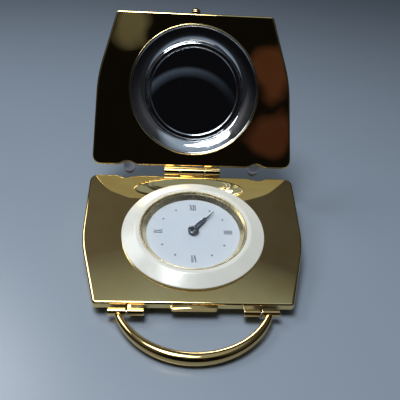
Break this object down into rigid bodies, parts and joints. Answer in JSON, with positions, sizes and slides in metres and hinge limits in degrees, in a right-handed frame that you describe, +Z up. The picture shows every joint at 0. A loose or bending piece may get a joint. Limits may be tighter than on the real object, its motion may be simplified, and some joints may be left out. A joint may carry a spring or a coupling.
{
  "type": "folding desk clock",
  "caption": "Miniature handbag-shaped folding desk clock: hinged gilt halves, round quartz insert below, round mirror in the lid, swinging bow handle.",
  "frame": {"origin": "middle of the footprint of the open clock, on the surface that it stands on", "axes": "+Z up; the viewer stands at -Y and reads the dial; the hinge axis is along X at the back; +X is the side of the figure III"},
  "size_m": [0.0474, 0.0692, 0.0428],
  "materials": {
    "gilt": "polished gold plating on cast and pressed metal",
    "cream_enamel": "glossy cream moulding",
    "dial_white": "satin white print lacquer",
    "slate": "dark slate lacquer on thin metal",
    "chrome": "polished",
    "mirror_glass": "silvered flat glass",
    "clear_glass": "clear flat crystal",
    "clear_rubber": "clear soft moulded bumper",
    "steel": "fine turned or stamped steel",
    "brass": "satin stamped brass",
    "white_plastic": "moulded",
    "copper_wire": "lacquered copper winding",
    "board": "solder mask"
  },
  "bodies": {
    "base": {"handle_lug_left": "gilt", "handle_pin_left": "steel", "handle_lug_right": "gilt", "handle_pin_right": "steel", "base_shell": "gilt", "base_face_plate": "gilt", "catch_tab": "gilt", "base_foot_left": "clear_rubber", "base_foot_right": "clear_rubber", "bezel_ring": "cream_enamel", "dial_surround": "gilt", "crystal": "clear_glass", "dial": "dial_white", "insert_cup": "steel", "movement_holder": "white_plastic", "main_plate": "brass", "train_bridge": "steel", "bridge_screw_1": "steel", "bridge_screw_2": "steel", "stator": "steel", "coil": "copper_wire", "circuit_board": "board", "quartz_can": "steel", "battery": "steel", "battery_strap": "steel", "base_hinge_leaf": "gilt", "hinge_pin": "steel"},
    "lid": {"lid_shell": "gilt", "lid_face_plate": "gilt", "lid_hinge_leaf_left": "gilt", "lid_hinge_leaf_right": "gilt", "mirror_dish": "chrome", "mirror_ring": "chrome", "mirror": "mirror_glass", "clasp_knob": "gilt", "lid_foot_left": "clear_rubber", "lid_foot_right": "clear_rubber"},
    "handle": {"handle_bail": "gilt"},
    "minute_train": {"centre_wheel": "brass", "cannon_pinion": "steel", "minute_hand": "slate"},
    "hour_train": {"hour_wheel": "brass", "hour_hand": "slate"},
    "motion_wheel": {"minute_wheel": "brass"},
    "step_train": {"step_wheel": "brass"},
    "motor_rotor": {"rotor": "steel"},
    "clutch": {"sliding_pinion": "steel"},
    "crown": {"setting_stem": "steel", "setting_crown": "steel"}
  },
  "joints": [
    {"name": "lid_hinge", "type": "hinge", "parent": "base", "child": "lid", "pos_m": [0, 0.01374, 0.00964], "axis": [1, 0, 0], "range_deg": [0, 129.3]},
    {"name": "handle_swing", "type": "hinge", "parent": "base", "child": "handle", "pos_m": [0, -0.02407, 0.00216], "axis": [-1, 0, 0], "range_deg": [-93.8, 86.2]},
    {"name": "minute_hand_turn", "type": "hinge", "parent": "base", "child": "minute_train", "pos_m": [0, -0.00538, 0.00614], "axis": [0, 0.1724, -0.985], "continuous": true},
    {"name": "hour_hand_turn", "type": "hinge", "parent": "base", "child": "hour_train", "pos_m": [0, -0.00538, 0.00614], "axis": [0, 0.1724, -0.985], "continuous": true},
    {"name": "minute_wheel_turn", "type": "hinge", "parent": "base", "child": "motion_wheel", "pos_m": [0.00208, -0.00656, 0.00593], "axis": [0, 0.1724, -0.985], "continuous": true},
    {"name": "step_wheel_turn", "type": "hinge", "parent": "base", "child": "step_train", "pos_m": [0.00105, -0.00359, 0.00645], "axis": [0, 0.1724, -0.985], "continuous": true},
    {"name": "rotor_turn", "type": "hinge", "parent": "base", "child": "motor_rotor", "pos_m": [0.00195, -0.00205, 0.00672], "axis": [0, 0.1724, -0.985], "continuous": true},
    {"name": "crown_pull", "type": "slide", "parent": "base", "child": "clutch", "axis": [1, 0, 0], "range_m": [0, 0.0004]},
    {"name": "crown_turn", "type": "hinge", "parent": "clutch", "child": "crown", "pos_m": [0, -0.0052, 0.00511], "axis": [1, 0, 0], "continuous": true}
  ],
  "couplings": [
    {"joint": "hour_hand_turn", "follows": "minute_hand_turn", "ratio": 0.083333},
    {"joint": "minute_wheel_turn", "follows": "minute_hand_turn", "ratio": -0.33333},
    {"joint": "step_wheel_turn", "follows": "minute_hand_turn", "ratio": -6},
    {"joint": "rotor_turn", "follows": "minute_hand_turn", "ratio": 30}
  ]
}
